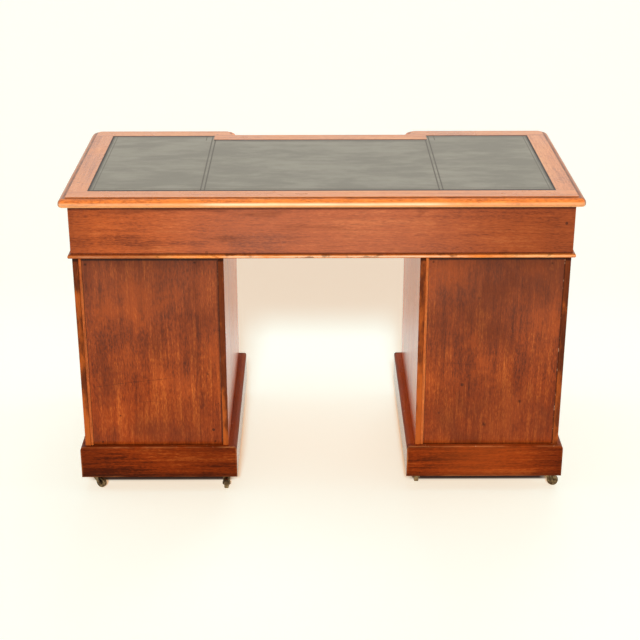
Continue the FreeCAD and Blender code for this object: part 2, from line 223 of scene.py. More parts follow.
def make_rub_group():
    """Wear along the edges of a board with its faces square to the axes, broken up by noise."""
    group, t, given = new_group(
        "edge_rub", {"Vector": "v", "Low": "v", "High": "v", "Reach": "f"}, {"Rub": "f", "Grime": "f"})
    from_low = t.vector("SUBTRACT", given["Vector"], given["Low"])
    from_high = t.vector("SUBTRACT", given["High"], given["Vector"])
    x, y, z = t.parts(t.vector("MINIMUM", from_low, from_high))
    to_edge = t.most(t.least(x, y), t.least(t.most(x, y), z))
    uneven = t.noise(given["Vector"], 38.0, 4.0, 0.65)
    patchy = t.remap(t.noise(given["Vector"], 7.0, 3.0, 0.6), 0.38, 0.62)
    distance = t.math("DIVIDE", to_edge, given["Reach"])
    rub = t.remap(t.scaled(uneven, -0.9, t.plus(distance, 0.3)), 0.55, 0.05)
    grime = t.times(t.remap(distance, 3.5, 0.6), t.remap(uneven, 0.35, 0.75))
    return close_group(group, {"Rub": t.times(rub, patchy), "Grime": grime})


def make_mark_group():
    """Small dents, specks and stains scattered over a polished face."""
    group, t, given = new_group("old_marks", {"Vector": "v"}, {"Specks": "f", "Stains": "f"})
    cells = t.cells(given["Vector"], 26.0)
    size = t.times(t.node("ShaderNodeSeparateColor", {0: cells["Color"]})[0], 0.1)
    specks = t.remap(t.minus(cells["Distance"], size), 0.03, 0.0)
    rare = t.remap(t.noise(given["Vector"], 5.5, 2.0), 0.52, 0.66)
    stains = t.remap(t.noise(given["Vector"], 9.0, 5.0, 0.7), 0.6, 0.78)
    return close_group(group, {"Specks": t.times(specks, rare), "Stains": stains})


def make_hide_group():
    """Grey-green skiver: soft mottling, a fine pebble, and blind-tooled lines round its edges, the outer
    band partly painted shade.
    """
    group, t, given = new_group(
        "tooled_hide", {"Vector": "v", "Near": "f", "Far": "f", "Side": "f", "Division": "f"},
        {"Mottle": "f", "Pebble": "f", "Band": "f", "Lines": "f", "Scuffs": "f"})
    place = given["Vector"]
    x, y, z = t.parts(place)
    across = t.size(x)
    from_side = t.minus(given["Side"], across)
    from_near = t.minus(y, given["Near"])
    from_far = t.minus(given["Far"], y)
    past_division = t.minus(across, given["Division"])
    inside = t.least(from_side, t.times(t.least(from_near, from_far), 0.65))
    wander = t.times(t.minus(t.noise(place, 40.0, 2.0), 0.5), 1.2 * MM)
    inside = t.plus(inside, wander)
    faint_band = t.times(t.remap(inside, 9.0 * MM, 7.5 * MM), 0.4)
    band = t.most(t.remap(inside, 5.6 * MM, 4.2 * MM), faint_band)
    lines = t.times(t.near(t.size(past_division), 4.4 * MM, 2.8 * MM), 0.85)
    for distance, line, width in (
            (from_side, 13 * MM, 2.2 * MM), (from_near, 19 * MM, 3 * MM), (from_far, 19 * MM, 3 * MM)):
        lines = t.most(lines, t.times(t.near(distance, line, width), 0.6))
    corner = t.math("LESS_THAN", from_far, 46 * MM)
    crossing = t.times(t.near(past_division, 20 * MM, 2.2 * MM), corner)
    lines = t.most(lines, t.times(crossing, 0.7))
    broken = t.remap(t.noise(place, 120.0, 3.0), 0.25, 0.5, 0.6, 1.0)
    streaky = t.streaks(place, (9.0, 30.0, 10.0), 5.0, 0.65)
    cloudy = t.streaks(place, (6.0, 10.0, 6.0), 5.0, 0.62)
    scuffs = t.remap(t.streaks(place, (60.0, 9.0, 30.0), 4.0, 0.7), 0.63, 0.76)
    return close_group(group, {
        "Mottle": t.scaled(streaky, 0.42, t.times(cloudy, 0.58)),
        "Pebble": t.cells(place, 700.0)["Distance"],
        "Band": band, "Lines": t.times(lines, broken), "Scuffs": scuffs})


def make_brass_group():
    """Old brass: bright where it is rubbed, brown where it has tarnished, with a little black dirt."""
    group, t, given = new_group("old_brass", {"Vector": "v"}, {"Color": "c", "Rough": "f", "Dirt": "f"})
    tarnish = t.remap(t.noise(given["Vector"], 85.0, 5.0, 0.65), 0.32, 0.62)
    dirt = t.remap(t.noise(given["Vector"], 210.0, 4.0, 0.7), 0.5, 0.7)
    colour = t.mix(tarnish, BRASS_RUBBED, BRASS_TARNISH)
    colour = t.mix(t.times(dirt, 0.65), colour, BRASS_DIRT)
    rough = t.scaled(tarnish, 0.22, t.scaled(dirt, 0.2, 0.28))
    return close_group(group, {"Color": colour, "Rough": rough, "Dirt": dirt})


# Deep, warm and pale tones of each kind of board
TOP_TONES = (srgb(180, 98, 46), srgb(232, 144, 80), srgb(244, 166, 104))
EDGE_TONES = (srgb(176, 84, 26), srgb(250, 140, 56), srgb(255, 176, 92))
FRIEZE_TONES = (srgb(106, 42, 16), srgb(186, 90, 40), srgb(214, 120, 64))
PANEL_TONES = (srgb(72, 23, 5), srgb(150, 63, 19), srgb(206, 108, 44))
# The inner sides' tones are paler: partly faded wood, partly a painted reflection of the pale floor
FADED_AND_SHEEN_TONES = (srgb(184, 78, 34), srgb(252, 126, 62), srgb(255, 160, 92))
SIDE_TONES = (srgb(92, 36, 14), srgb(156, 68, 28), srgb(188, 96, 48))
PLINTH_TONES = (srgb(70, 23, 5), srgb(138, 52, 12), srgb(178, 86, 32))
STRIP_TONES = (srgb(140, 60, 20), srgb(206, 106, 46), srgb(236, 144, 72))
KNOB_TONES = (srgb(56, 22, 10), srgb(104, 46, 20), srgb(148, 78, 40))
DRAWER_TONES = (srgb(98, 38, 16), srgb(174, 80, 36), srgb(204, 110, 58))
LINING_TONES = (srgb(132, 92, 54), srgb(178, 134, 86), srgb(204, 164, 114))
INSIDE_TONES = (srgb(96, 58, 32), srgb(142, 92, 54), srgb(170, 118, 74))

# Dirt that also serves as painted shade, and a deeper painted shade, that many pieces share
GRIME_AND_SHADE = srgb(40, 18, 10)
DEEP_SHADE = srgb(36, 12, 5)

# Single tones of the top and its nose, with painted highlights and painted shade on the nose
NEAR_RAIL = srgb(255, 152, 78)
NOSE_FOOT_HIGHLIGHT = srgb(255, 190, 122)
NOSE_PALE_HIGHLIGHT = srgb(255, 240, 196)
NOSE_ENDS_SHADE = srgb(128, 78, 48)
NOSE_LEDGE_SHADE = srgb(92, 44, 18)

# Single tones of the leather; the band's tone is partly painted shade
HIDE_DARK = srgb(122, 119, 107)
HIDE_LIGHT = srgb(152, 149, 138)
HIDE_BAND_SHADE = srgb(30, 20, 13)
HIDE_LINE = srgb(50, 36, 24)

# Single tones of the frieze and the bead under it, with a painted sheen, a painted highlight and painted
# shade among them
FRIEZE_SHEEN = srgb(176, 122, 104)
FRIEZE_RIGHT = srgb(96, 38, 14)
FRIEZE_LEFT = srgb(110, 44, 10)
FRIEZE_SMOKE = srgb(84, 34, 16)
FRIEZE_CORNER_SHADE = srgb(62, 22, 8)
BEAD_HIGHLIGHT = srgb(255, 210, 172)
BEAD_QUIRK_SHADE = srgb(92, 30, 8)
BEAD_LEFT = srgb(120, 44, 14)

# Single tones of the pedestals and plinths, with a painted sheen and painted light among them
PANEL_UPPER_SHEEN = srgb(136, 78, 54)
PANEL_LOWER = srgb(166, 62, 8)
PANEL_CLOUD = srgb(88, 34, 12)
PANEL_GLOW = srgb(196, 92, 36)
PANEL_SMUDGE = srgb(78, 32, 14)
PANEL_CHIP = srgb(222, 176, 140)
KNOCKED_DARK = srgb(74, 36, 17)
KNOCKED_BRIGHT = srgb(192, 98, 38)
PLINTH_RUB = srgb(190, 116, 68)
PLINTH_CHIP = srgb(226, 178, 140)
PLINTH_OUTER = srgb(66, 20, 4)
PLINTH_LEDGE_LIGHT = srgb(176, 76, 20)

# Single tones of the drawers and of dust, and the painted shade inside a keyhole
COCK_BEAD_TONE = srgb(196, 104, 52)
KNOB_HALO = srgb(58, 22, 10)
LINING_RIM = srgb(96, 60, 34)
LINING_DUST = srgb(120, 96, 70)
SHELF_DUST = srgb(150, 128, 100)
KEYHOLE_SHADE = srgb(20, 13, 9)
KEYHOLE_DUST = srgb(44, 30, 20)

# Single tones of the brass
BRASS_RUBBED = srgb(172, 146, 106)
BRASS_TARNISH = srgb(92, 72, 50)
BRASS_DIRT = srgb(30, 22, 15)

# Which way the wood runs: turns that bring a board's long grain onto X
ALONG_X = (0.0, 0.0, 0.0)
ALONG_Y = (0.0, 0.0, -math.pi / 2)
ALONG_Z = (0.0, math.pi / 2, 0.0)

# How strongly a finish shines under its coat
SOFT_SHINE = 0.22
TOP_SHINE = 0.42
SIDE_SHINE = 0.1
PLINTH_SHINE = 0.06
NO_SHINE = 0.2
CLEAR_COAT = 0.08
CLOUDY_COAT = 0.2

# How softly one finish ends at the next
HAIR = 0.3 * MM
FINE = 0.1 * MM
SOFT = 0.5 * MM

GRAIN = make_grain_group()
RUB = make_rub_group()
MARKS = make_mark_group()
HIDE = make_hide_group()
BRASS = make_brass_group()


def new_material(name):
    """A material with its tree, its shader and the place of each point on the desk."""
    material = bpy.data.materials.new(name)
    material.use_nodes = True
    tree = Tree(material.node_tree)
    shader = material.node_tree.nodes["Principled BSDF"]
    return material, tree, shader, tree.node("ShaderNodeTexCoord", {})["Object"]


def join(tree, value, shader, socket):
    """Links a value to one of a shader's inputs."""
    tree.tree.links.new(value, shader.inputs[socket])


def grain(tree, place, turn, tones, stripes=1.0, offset=(0.0, 0.0, 0.0), flecks=0.8):
    """The mahogany group, turned along a board and moved to a fresh stretch of figure."""
    moved = tree.vector("ADD", tree.turn(place, turn), offset)
    return use_group(tree, GRAIN, {
        "Vector": moved, "Deep": tones[0], "Warm": tones[1], "Pale": tones[2], "Stripes": stripes,
        "Flecks": flecks})


def choose_grain(tree, share, first, second):
    """One run of grain or another, by a share, for pieces with boards that run two ways."""
    wood = {"Color": tree.mix(share, first["Color"], second["Color"])}
    for layer in ("Pores", "Cloud", "Fibre"):
        wood[layer] = tree.blend(share, first[layer], second[layer])
    return wood


def polish(tree, shader, place, colour, wood, gloss, wear=None, shine=SOFT_SHINE, relief=0.25):
    """Old French polish over wood: gloss that varies with pores, clouds and wear, and open grain."""
    marks = use_group(tree, MARKS, {"Vector": place})
    colour = tree.mix(tree.times(marks["Specks"], 0.75), colour, GRIME_AND_SHADE)
    colour = tree.mix(tree.times(marks["Stains"], 0.28), colour, GRIME_AND_SHADE)
    join(tree, colour, shader, "Base Color")
    smooth, dull = gloss
    rough = tree.remap(wood["Cloud"], 0.3, 0.7, smooth, dull)
    rough = tree.scaled(wood["Pores"], 0.12, rough)
    rough = tree.scaled(marks["Stains"], 0.1, rough)
    if wear is not None:
        rough = tree.scaled(wear, 0.18, rough)
    join(tree, tree.least(rough, 0.9), shader, "Roughness")
    height = tree.scaled(wood["Pores"], -0.6, tree.times(wood["Fibre"], 0.25))
    height = tree.scaled(marks["Specks"], -1.2, height)
    join(tree, tree.bump(height, relief, 0.4 * MM), shader, "Normal")
    shader.inputs["Specular IOR Level"].default_value = shine
    shader.inputs["Coat Roughness"].default_value = CLEAR_COAT


def worn(tree, place, colour, low, high, reach, rubbed):
    """Rubs the polish back along a board's edges and leaves grime just inside them."""
    edges = use_group(tree, RUB, {"Vector": place, "Low": low, "High": high, "Reach": reach})
    colour = tree.mix(tree.times(edges["Grime"], 0.3), colour, GRIME_AND_SHADE)
    return tree.mix(tree.times(edges["Rub"], 0.75), colour, rubbed), edges["Rub"]


def board_material(name, node, turn, tones, gloss, stripes=1.0, offset=(0.0, 0.0, 0.0), reach=4 * MM):
    """A plain polished board: one run of grain with worn edges."""
    material, tree, shader, place = new_material(name)
    wood = grain(tree, place, turn, tones, stripes, offset)
    low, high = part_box(node)
    colour, rub = worn(tree, place, wood["Color"], low, high, reach, tones[2])
    polish(tree, shader, place, colour, wood, gloss, rub)
    return material


def dress(node, material):
    """Gives a CAD node its finish."""
    slots = nodes[node].data.materials
    slots.clear()
    slots.append(material)


RAIL_JOINT = 0.9 * MM
TOP_STEP = 2.4 * MM


def dress_top():
    """The top's border: rails that run two ways with butt joints, and a moulded edge with painted
    highlights on its nose and painted shade at its ends and in its step.
    """
    low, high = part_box("writing_top")
    left_low, left_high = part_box("leather_left")
    material, tree, shader, place = new_material("top_mahogany")
    x, y, z = tree.parts(place)
    across = tree.size(x)
    side_rail = tree.between(y, left_low.y, left_high.y, HAIR)
    side_rail = tree.times(side_rail, tree.over(across, -left_low.x, HAIR))
    rails = grain(tree, place, ALONG_X, TOP_TONES, 0.9)
    ends = grain(tree, place, ALONG_Y, TOP_TONES, 0.9, (0.7, 0.3, 0.0))
    wood = choose_grain(tree, side_rail, rails, ends)
    joints = tree.most(tree.near(y, left_low.y, RAIL_JOINT), tree.near(y, left_high.y, RAIL_JOINT))
    joints = tree.times(joints, tree.over(across, -left_low.x, 2 * MM))
    colour = tree.mix(tree.times(joints, 0.6), wood["Color"], GRIME_AND_SHADE)
    colour = tree.mix(tree.remap(y, -0.1, -0.28, 0.0, 0.25), colour, NEAR_RAIL)

    # The moulding, with its grain mitred at the corners
    edge = grain(tree, place, ALONG_X, EDGE_TONES, 0.8, (0.2, 0.1, 0.4))
    side_edge = grain(tree, place, ALONG_Y, EDGE_TONES, 0.8, (0.5, 0.2, 0.1))
    from_end = tree.scaled(across, -1.0, high.x)
    from_rail = tree.least(tree.minus(y, low.y), tree.scaled(y, -1.0, high.y))
    is_side = tree.over(tree.minus(from_rail, from_end), 0.0, HAIR)
    moulded = tree.mix(is_side, edge["Color"], side_edge["Color"])
    # Painted highlights on the nose: a pale band along its foot and a paler one along its roll, strongest
    # at the near edge and in the middle
    near_highlight = tree.remap(y, -0.22, -0.27, 0.35, 1.0)
    foot = tree.times(tree.near(z, low.z + 2 * MM, 5 * MM), near_highlight)
    moulded = tree.mix(foot, moulded, NOSE_FOOT_HIGHLIGHT)
    patchy = tree.remap(tree.streaks(place, (9.0, 9.0, 60.0), 4.0), 0.3, 0.6, 0.7, 1.0)
    faded = tree.times(tree.near(z, low.z + 9 * MM, 5.5 * MM), patchy)
    faded = tree.times(faded, tree.remap(across, 0.34, 0.22, 0.32, 0.9))
    moulded = tree.mix(tree.times(faded, near_highlight), moulded, NOSE_PALE_HIGHLIGHT)
    # Painted shade on the moulding at the ends, which turns away from the light
    moulded = tree.mix(tree.times(is_side, 0.55), moulded, NOSE_ENDS_SHADE)
    moulding = tree.below(z, high.z - TOP_STEP, FINE)
    colour = tree.mix(moulding, colour, moulded)
    # Painted shade in the step above the moulding and along the ledge at its foot
    step = tree.near(z, high.z - 1.4 * MM, 1.3 * MM)
    colour = tree.mix(tree.times(step, 0.75), colour, GRIME_AND_SHADE)
    ledge = tree.remap(tree.noise(place, 30.0, 3.0), 0.3, 0.65, 0.35, 0.8)
    ledge = tree.times(tree.near(z, high.z - 2.5 * MM, 0.3 * MM), ledge)
    colour = tree.mix(ledge, colour, NOSE_LEDGE_SHADE)
    under = tree.below(z, low.z + 0.5 * MM, 0.4 * MM)
    colour = tree.mix(under, colour, grain(tree, place, ALONG_X, SIDE_TONES)["Color"])
    polish(tree, shader, place, colour, wood, (0.22, 0.36), shine=TOP_SHINE)
    join(tree, tree.times(tree.rest(moulding), 0.4), shader, "Coat Weight")
    dress("writing_top", material)


def dress_leathers():
    """The three leather panels, tooled round the outside and on both sides of each division."""
    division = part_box("leather_center")[1].x
    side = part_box("leather_right")[1].x
    for node in ("leather_left", "leather_center", "leather_right"):
        low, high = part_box(node)
        material, tree, shader, place = new_material(node + "_hide")
        hide = use_group(tree, HIDE, {
            "Vector": place, "Near": low.y, "Far": high.y, "Side": side, "Division": division})
        colour = tree.mix(tree.remap(hide["Mottle"], 0.38, 0.62), HIDE_DARK, HIDE_LIGHT)
        colour = tree.mix(tree.times(hide["Scuffs"], 0.25), colour, HIDE_LIGHT)
        colour = tree.mix(hide["Lines"], colour, HIDE_LINE)
        # The dark band round the edges: a tooled line with painted shade where the hide meets the wood
        colour = tree.mix(hide["Band"], colour, HIDE_BAND_SHADE)
        join(tree, colour, shader, "Base Color")
        join(tree, tree.remap(hide["Mottle"], 0.35, 0.65, 0.42, 0.56), shader, "Roughness")
        pressed = tree.plus(hide["Lines"], hide["Band"])
        height = tree.scaled(pressed, -2.0, hide["Pebble"])
        join(tree, tree.bump(height, 0.3, 0.3 * MM), shader, "Normal")
        dress(node, material)


def dress_frieze_board(node, turn, offset):
    """A frieze board: soft clouded grain, and painted shade under the moulding and over the bead."""
    low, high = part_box(node)
    bead_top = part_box("bead_moulding")[1].z
    material, tree, shader, place = new_material(node + "_mahogany")
    x, y, z = tree.parts(place)
    wood = grain(tree, place, turn, FRIEZE_TONES, 0.6, offset)
    colour, rub = worn(tree, place, wood["Color"], low, high, 4 * MM, FRIEZE_TONES[2])
    # A painted sheen across the middle of the frieze
    colour = tree.mix(tree.remap(tree.size(x), 0.52, 0.12, 0.0, 0.3), colour, FRIEZE_SHEEN)
    colour = tree.mix(tree.remap(x, 0.1, 0.6, 0.0, 0.45), colour, FRIEZE_RIGHT)
    colour = tree.mix(tree.remap(x, -0.5, -0.6, 0.0, 0.3), colour, FRIEZE_LEFT)
    smoke = tree.remap(tree.streaks(place, (4.0, 4.0, 26.0), 4.0, 0.6), 0.56, 0.74, 0.0, 0.5)
    colour = tree.mix(smoke, colour, FRIEZE_SMOKE)
    # Painted shade: the moulding's shadow along the top, and the corner over the bead
    moulding_shadow = tree.times(tree.remap(z, high.z - 9 * MM, high.z - 2 * MM), 0.75)
    bead_corner_shade = tree.times(tree.near(z, bead_top + 1 * MM, 2.6 * MM), 0.8)
    colour = tree.mix(tree.most(moulding_shadow, bead_corner_shade), colour, FRIEZE_CORNER_SHADE)
    polish(tree, shader, place, colour, wood, (0.24, 0.4), rub)
    dress(node, material)


BEAD_DEPTH = 12 * MM


def dress_bead():
    """The bead under the frieze: a painted highlight along its middle, painted shade in its quirks, and
    knocked.
    """
    low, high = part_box("bead_moulding")
    material, tree, shader, place = new_material("bead_mahogany")
    x, y, z = tree.parts(place)
    back = grain(tree, place, ALONG_X, EDGE_TONES, 0.8, (0.3, 0.0, 0.2))
    ends = grain(tree, place, ALONG_Y, EDGE_TONES, 0.8, (0.1, 0.5, 0.2))
    wood = choose_grain(tree, tree.over(y, low.y + BEAD_DEPTH, SOFT), back, ends)
    # A painted highlight along the bead, strongest in the middle
    bead_highlight = tree.remap(tree.streaks(place, (7.0, 7.0, 7.0), 3.0), 0.34, 0.54, 0.1, 1.0)
    bead_highlight = tree.times(bead_highlight, tree.remap(tree.size(x), 0.32, 0.24, 0.45, 1.0))
    bead_highlight = tree.times(bead_highlight, tree.near(z, low.z + 5 * MM, 3.5 * MM))
    colour = tree.mix(bead_highlight, wood["Color"], BEAD_HIGHLIGHT)
    # Painted shade in the quirks above and below the bead
    quirks = tree.most(tree.over(z, high.z - 2 * MM, 1 * MM), tree.below(z, low.z + 1.4 * MM, 1 * MM))
    colour = tree.mix(tree.times(quirks, 0.7), colour, BEAD_QUIRK_SHADE)
    colour = tree.mix(tree.remap(x, -0.33, -0.42, 0.0, 0.6), colour, BEAD_LEFT)
    knocks = tree.remap(tree.streaks(place, (16.0, 16.0, 40.0), 4.0, 0.7), 0.54, 0.66)
    colour = tree.mix(tree.times(knocks, 0.6), colour, GRIME_AND_SHADE)
    polish(tree, shader, place, colour, wood, (0.22, 0.36), knocks)
    dress("bead_moulding", material)


def dress_frieze():
    """The frieze boards, the plain boards inside the frieze and the bead under it."""
    dress_frieze_board("frieze_back", ALONG_X, (0.0, 0.0, 0.06))
    dress_frieze_board("frieze_end_left", ALONG_Y, (0.4, 0.2, 0.3))
    dress_frieze_board("frieze_end_right", ALONG_Y, (0.9, 0.6, 0.1))
    dress("frieze_partitions", board_material(
        "frieze_partition_mahogany", "frieze_partitions", ALONG_Y, DRAWER_TONES, (0.3, 0.46)))
    dress("frieze_dust_boards", edged_board("frieze_dust_boards", ALONG_X))
    dress_bead()


LIPPING_DEPTH = 60 * MM


def edged_board(node, turn):
    """Unpolished boards inside the carcass, with mahogany along the front edge that shows."""
    low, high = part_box(node)
    material, tree, shader, place = new_material(node + "_wood")
    x, y, z = tree.parts(place)
    inside = grain(tree, place, turn, INSIDE_TONES, 0.8)
    lipping = grain(tree, place, turn, DRAWER_TONES, 0.9)
    wood = choose_grain(tree, tree.over(y, high.y - LIPPING_DEPTH, 1 * MM), inside, lipping)
    dust = tree.remap(tree.noise(place, 11.0, 4.0, 0.65), 0.45, 0.75, 0.0, 0.25)
    colour = tree.mix(dust, wood["Color"], SHELF_DUST)
    polish(tree, shader, place, colour, wood, (0.5, 0.66), shine=NO_SHINE)
    return material


def scratch(tree, place, start, end, width, bow):
    """A drawn line on an upright panel from one (x, z) point to another, bowed upwards in the middle."""
    x, y, z = tree.parts(place)
    along = tree.remap_straight(x, start[0], end[0])
    line = tree.scaled(along, end[1] - start[1], start[1])
    arch = tree.times(along, tree.rest(along))
    line = tree.scaled(arch, 4 * bow, line)
    line = tree.scaled(tree.minus(tree.noise(place, 60.0, 2.0), 0.5), 3 * MM, line)
    drawn = tree.remap(tree.size(tree.minus(z, line)), width, 0.2 * width)
    broken = tree.remap(tree.noise(place, 45.0, 3.0), 0.35, 0.55, 0.45, 1.0)
    return tree.times(tree.times(drawn, tree.between(x, start[0], end[0], 8 * MM)), broken)


def spot(tree, place, at, radius):
    """A round blemish on an upright panel at an (x, z) point."""
    x, y, z = tree.parts(place)
    away = tree.math("SQRT", tree.square_sum(tree.minus(x, at[0]), tree.minus(z, at[1])))
    ragged = tree.scaled(tree.noise(place, 150.0, 3.0), -radius, away)
    return tree.remap(ragged, 0.6 * radius, -0.3 * radius)


def smudge(tree, place, at, reach):
    """A soft dark patch of old polish on an upright board, round an (x, z) point."""
    x, y, z = tree.parts(place)
    across = tree.math("DIVIDE", tree.minus(x, at[0]), reach[0])
    rise = tree.math("DIVIDE", tree.minus(z, at[1]), reach[1])
    uneven = tree.streaks(place, (30.0, 30.0, 9.0), 4.0)
    return tree.remap(tree.scaled(uneven, 0.8, tree.square_sum(across, rise)), 1.4, 0.3)


# Where the two upright boards of each panel meet, and which stretch of figure the pedestal shows
PEDESTALS = {"left": (-0.303, (0.2, 0.1, 0.0)), "right": (0.47, (1.1, 0.7, 0.3))}

# Soft dark patches on each panel: where, how far they reach, and how strong they are
PANEL_SMUDGES = {
    "left": (((-0.42, 0.62), (0.13, 0.16), 0.22), ((-0.34, 0.17), (0.16, 0.12), 0.3),
             ((-0.57, 0.1), (0.08, 0.12), 0.35)),
    "right": (((0.54, 0.6), (0.13, 0.14), 0.5), ((0.40, 0.56), (0.12, 0.2), 0.3),
              ((0.42, 0.2), (0.26, 0.16), 0.42), ((0.33, 0.43), (0.12, 0.12), 0.25)),
}

# Scratches on each panel: from where, to where, how wide, and how far they bow
PANEL_SCRATCHES = {
    "left": (((-0.557, 0.289), (-0.360, 0.3125), 0.9 * MM, 2 * MM),
             ((-0.449, 0.2475), (-0.394, 0.2475), 0.7 * MM, 1 * MM)),
    "right": (((0.300, 0.352), (0.372, 0.346), 0.6 * MM, 1 * MM),),
}

# Nail spots and dents on each panel: where, and their radius
PANEL_SPOTS = {
    "left": (((-0.562, 0.6114), 4 * MM), ((-0.3025, 0.6157), 4 * MM), ((-0.267, 0.1383), 4 * MM),
             ((-0.548, 0.137), 4 * MM), ((-0.5, 0.21), 3 * MM)),
    "right": (((0.4036, 0.1833), 7 * MM), ((0.4897, 0.2467), 6 * MM), ((0.548, 0.6114), 4 * MM),
              ((0.265, 0.6157), 4 * MM)),
}

# How much pale, chipped wood shows along each panel's right edge, and how far the painted shade line there
# reaches
PANEL_CHIPS = {"left": 0.15, "right": 0.75}
PANEL_QUIRK_SHADE = {"left": 7 * MM, "right": 3.6 * MM}

# How far the painted shade under the bead reaches: from nought to full
SHADE_START = 12 * MM
SHADE_FULL = 7 * MM


def dress_panel(side, joint, offset):
    """A back panel of upright boards: a painted sheen near the top, painted shade under the bead and along
    its edges, a joint, nail spots and old scratches.
    """
    node = side + "_back_panel"
    low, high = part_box(node)
    bead_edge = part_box(side + "_panel_bead")[1].x
    plinth_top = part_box(side + "_plinth")[1].z
    material, tree, shader, place = new_material(node + "_mahogany")
    x, y, z = tree.parts(place)
    first = grain(tree, place, ALONG_Z, PANEL_TONES, 0.85, offset, 1.1)
    fresh = (offset[0] + 1.3, offset[1] + 0.4, offset[2])
    second = grain(tree, place, ALONG_Z, PANEL_TONES, 0.85, fresh, 1.1)
    wood = choose_grain(tree, tree.over(x, joint, 0.2 * MM), first, second)
    level = tree.scaled(tree.noise(place, 6.0, 3.0), 0.12, z)
    # A painted sheen over the upper part of the panel
    colour = tree.mix(tree.times(tree.remap(level, 0.30, 0.68), 0.42), wood["Color"], PANEL_UPPER_SHEEN)
    colour = tree.mix(tree.times(tree.remap(level, 0.42, 0.2), 0.3), colour, PANEL_LOWER)
    cloud = tree.streaks(tree.vector("ADD", place, offset), (13.0, 13.0, 8.0), 3.0)
    colour = tree.mix(tree.remap(cloud, 0.5, 0.68, 0.0, 0.4), colour, PANEL_CLOUD)
    colour = tree.mix(tree.remap(cloud, 0.48, 0.32, 0.0, 0.3), colour, PANEL_GLOW)
    for at, reach, strength in PANEL_SMUDGES[side]:
        colour = tree.mix(tree.times(smudge(tree, place, at, reach), strength), colour, PANEL_SMUDGE)
    colour = tree.mix(tree.times(tree.near(x, joint, 0.8 * MM), 0.45), colour, GRIME_AND_SHADE)
    marks = [scratch(tree, place, *drawn) for drawn in PANEL_SCRATCHES[side]]
    marks += [spot(tree, place, at, radius) for at, radius in PANEL_SPOTS[side]]
    blemish = marks[0]
    for mark in marks[1:]:
        blemish = tree.most(blemish, mark)
    colour = tree.mix(tree.times(blemish, 0.72), colour, GRIME_AND_SHADE)
    # Painted shade under the bead, along the panel's edges and the bead, and over the plinth; it also
    # darkens the panel a little towards the top
    shade = tree.times(tree.remap(z, high.z - 50 * MM, high.z), 0.3)
    bead_shadow = tree.remap(z, high.z - SHADE_START, high.z - SHADE_FULL)
    shade = tree.most(shade, tree.times(bead_shadow, 0.9))
    for line, reach in ((low.x, 2.6 * MM), (bead_edge, 1.8 * MM), (high.x, PANEL_QUIRK_SHADE[side])):
        shade = tree.most(shade, tree.times(tree.near(x, line, reach), 0.85))
    shade = tree.most(shade, tree.times(tree.near(z, plinth_top, 2.6 * MM), 0.75))
    colour = tree.mix(shade, colour, DEEP_SHADE)
    chips = tree.remap(tree.streaks(place, (90.0, 90.0, 75.0), 3.0, 0.6), 0.56, 0.64)
    chips = tree.times(chips, tree.near(x, high.x, 2.2 * MM))
    colour = tree.mix(tree.times(chips, PANEL_CHIPS[side]), colour, PANEL_CHIP)
    polish(tree, shader, place, colour, wood, (0.26, 0.42), blemish)
    dress(node, material)


# How far the back edge of each pedestal side is rubbed to bare, bright wood
EDGE_BRIGHTNESS = {"left_outer_side": 0.06, "left_inner_side": -0.05, "right_inner_side": 0.06,
                   "right_outer_side": -0.12}
EDGE_SKIN = 1.5 * MM


def dress_side(node, offset):
    """A pedestal side: polished broad faces, paler in the kneehole as faded wood with a painted reflection,
    and a dull, knocked back edge with painted shade under the bead.
    """
    low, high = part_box(node)
    material, tree, shader, place = new_material(node + "_mahogany")
    x, y, z = tree.parts(place)
    # The inner sides take paler tones: partly fading, partly a painted reflection
    tones, coat = (FADED_AND_SHEEN_TONES, 0.76) if "inner" in node else (SIDE_TONES, 1.0)
    wood = grain(tree, place, ALONG_Z, tones, 0.8, offset)
    colour, rub = worn(tree, place, wood["Color"], low, high, 5 * MM, SIDE_TONES[2])
    plain = grain(tree, place, ALONG_Z, SIDE_TONES, 0.8, offset)["Color"]
    fresh = tree.vector("ADD", place, (offset[0], offset[1], offset[2] + 0.17))
    patchy = tree.streaks(fresh, (30.0, 8.0, 9.0), 4.0, 0.65)
    brightness = EDGE_BRIGHTNESS[node]
    bright = tree.remap(tree.scaled(z, -0.45, patchy), 0.24 - brightness, 0.48 - brightness)
    knocked = tree.mix(bright, KNOCKED_DARK, KNOCKED_BRIGHT)
    knocked = tree.mix(0.3, knocked, plain)
    # Painted shade under the bead on the back edge
    bead_shadow = tree.remap(z, high.z - SHADE_START, high.z - SHADE_FULL)
    knocked = tree.mix(tree.times(bead_shadow, 0.85), knocked, DEEP_SHADE)
    back_edge = tree.below(y, low.y + EDGE_SKIN, HAIR)
    colour = tree.mix(back_edge, colour, knocked)
    colour = tree.mix(tree.over(y, high.y - EDGE_SKIN, HAIR), colour, plain)
    polish(tree, shader, place, colour, wood, (0.34, 0.46), rub, SIDE_SHINE, 0.06)
    join(tree, tree.scaled(back_edge, -coat, coat), shader, "Coat Weight")
    shader.inputs["Coat Roughness"].default_value = CLOUDY_COAT
    dress(node, material)


# Where each plinth is darker or brighter: a place along it, how far that reaches, how strongly, the tone
PLINTH_CAST = {"left": (-0.28, 0.2, 0.3, srgb(62, 18, 2)), "right": (0.4, 0.2, 0.3, srgb(196, 90, 34))}
PLINTH_BOARD = 16 * MM


